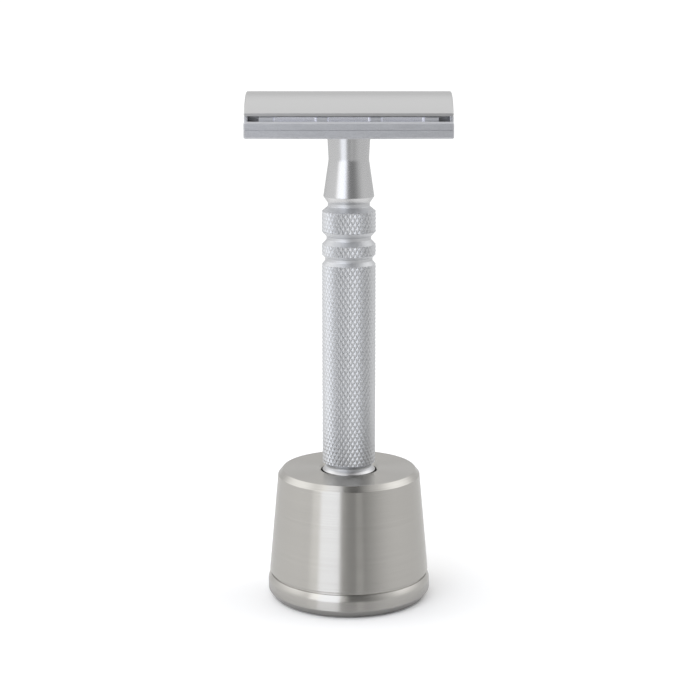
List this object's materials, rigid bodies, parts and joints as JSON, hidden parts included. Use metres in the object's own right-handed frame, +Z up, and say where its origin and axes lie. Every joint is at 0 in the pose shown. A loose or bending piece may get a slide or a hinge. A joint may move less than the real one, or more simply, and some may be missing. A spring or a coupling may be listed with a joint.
{
  "type": "double-edge safety razor with stand",
  "caption": "Double-edge safety razor with a knurled steel handle and a screw-on head, standing in a turned steel stand that it lifts out of.",
  "frame": {"origin": "middle of the face that the stand rests on", "axes": "+Z up along the handle's axis; X along the blade's edges; -Y the side of one blade edge"},
  "size_m": [0.043, 0.0356, 0.1104],
  "materials": {
    "stand_steel": "finely turned, satin",
    "pad_rubber": "matt",
    "handle_steel": "bead-blasted satin, knurled",
    "head_steel": "milled satin",
    "cap_steel": "fine satin",
    "stud_steel": "bright machined",
    "blade_steel": "cold-rolled, ground edges"
  },
  "bodies": {
    "stand": {"stand_body": "stand_steel", "foot_pad": "pad_rubber"},
    "handle": {"handle": "handle_steel"},
    "plate": {"base_plate": "head_steel"},
    "blade": {"blade": "blade_steel"},
    "cap": {"top_cap": "cap_steel", "cap_stud": "stud_steel", "cap_pin_left": "stud_steel", "cap_pin_right": "stud_steel"}
  },
  "joints": [
    {"name": "razor_lift", "type": "slide", "parent": "stand", "child": "handle", "axis": [0, 0, 1], "range_m": [0, 0.02]},
    {"name": "head_turn", "type": "hinge", "parent": "handle", "child": "plate", "pos_m": [0, 0, 0.10149], "axis": [0, 0, 1], "range_deg": [0, 2520]},
    {"name": "cap_rise", "type": "slide", "parent": "plate", "child": "cap", "axis": [0, 0, 1], "range_m": [0, 0.00561]},
    {"name": "blade_rise", "type": "slide", "parent": "plate", "child": "blade", "axis": [0, 0, 1], "range_m": [0, 0.00281]}
  ],
  "couplings": [
    {"joint": "cap_rise", "follows": "head_turn", "m_per_rad": 0.00012732},
    {"joint": "blade_rise", "follows": "head_turn", "m_per_rad": 0.000063662}
  ]
}
